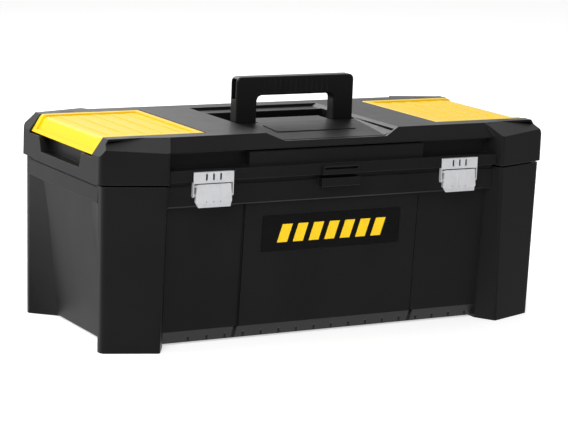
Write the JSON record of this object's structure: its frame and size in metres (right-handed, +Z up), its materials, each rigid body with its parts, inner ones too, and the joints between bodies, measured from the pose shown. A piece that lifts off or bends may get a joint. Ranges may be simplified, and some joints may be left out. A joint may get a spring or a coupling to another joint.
{
  "type": "carpenter toolbox",
  "caption": "Long plastic toolbox with a hinged lid, metal latches, a folding carry handle, lidded organiser bins in the top and a lift-out tray.",
  "frame": {"origin": "on the floor, under the middle of the box", "axes": "+X along the box's length to the right seen from the latches, +Y to the hinged back, +Z up"},
  "size_m": [0.665, 0.2992, 0.3276],
  "materials": {
    "black_plastic": "satin black polypropylene",
    "yellow_plastic": "glossy yellow polypropylene",
    "steel": "bright zinc-plated steel sheet",
    "tray_plastic": "satin black polypropylene",
    "label": "black self-adhesive label with a plain yellow pattern"
  },
  "bodies": {
    "tub": {"tub": "black_plastic", "latch_pivot_pins": "steel", "lid_hinge_pins": "steel", "front_label": "label"},
    "lid": {"lid": "black_plastic", "cover_hinge_pins": "steel", "handle_pivot_pins": "steel", "lid_badge": "black_plastic"},
    "cover_left": {"organiser_cover_left": "yellow_plastic"},
    "cover_right": {"organiser_cover_right": "yellow_plastic"},
    "handle": {"handle": "black_plastic"},
    "lever_left": {"latch_lever_left": "steel", "latch_hook_pin_left": "steel"},
    "lever_right": {"latch_lever_right": "steel", "latch_hook_pin_right": "steel"},
    "hook_left": {"latch_hook_left": "steel"},
    "hook_right": {"latch_hook_right": "steel"},
    "tray": {"tray": "tray_plastic", "tray_handle": "tray_plastic"}
  },
  "joints": [
    {"name": "lid_hinge", "type": "hinge", "parent": "tub", "child": "lid", "pos_m": [0, 0.1455, 0.21425], "axis": [-1, 0, 0], "range_deg": [0, 100]},
    {"name": "cover_left_hinge", "type": "hinge", "parent": "lid", "child": "cover_left", "pos_m": [-0.1767, 0, 0.268], "axis": [0, 1, 0], "range_deg": [0, 100]},
    {"name": "cover_right_hinge", "type": "hinge", "parent": "lid", "child": "cover_right", "pos_m": [0.1767, 0, 0.268], "axis": [0, -1, 0], "range_deg": [0, 100]},
    {"name": "handle_fold", "type": "hinge", "parent": "lid", "child": "handle", "pos_m": [0, -0.0105, 0.256], "axis": [-1, 0, 0], "range_deg": [0, 90]},
    {"name": "latch_left_lever", "type": "hinge", "parent": "tub", "child": "lever_left", "pos_m": [-0.1846, -0.1415, 0.21], "axis": [-1, 0, 0], "range_deg": [0, 100]},
    {"name": "latch_left_hook", "type": "hinge", "parent": "lever_left", "child": "hook_left", "pos_m": [-0.1846, -0.1416, 0.199], "axis": [-1, 0, 0], "range_deg": [-135, 0]},
    {"name": "latch_right_lever", "type": "hinge", "parent": "tub", "child": "lever_right", "pos_m": [0.1846, -0.1415, 0.21], "axis": [-1, 0, 0], "range_deg": [0, 100]},
    {"name": "latch_right_hook", "type": "hinge", "parent": "lever_right", "child": "hook_right", "pos_m": [0.1846, -0.1416, 0.199], "axis": [-1, 0, 0], "range_deg": [-135, 0]},
    {"name": "tray_lift", "type": "slide", "parent": "tub", "child": "tray", "axis": [0, 0, 1], "range_m": [0, 0.018]}
  ],
  "couplings": [
    {"joint": "latch_left_hook", "follows": "latch_left_lever", "ratio": -1.35},
    {"joint": "latch_right_hook", "follows": "latch_right_lever", "ratio": -1.35}
  ]
}
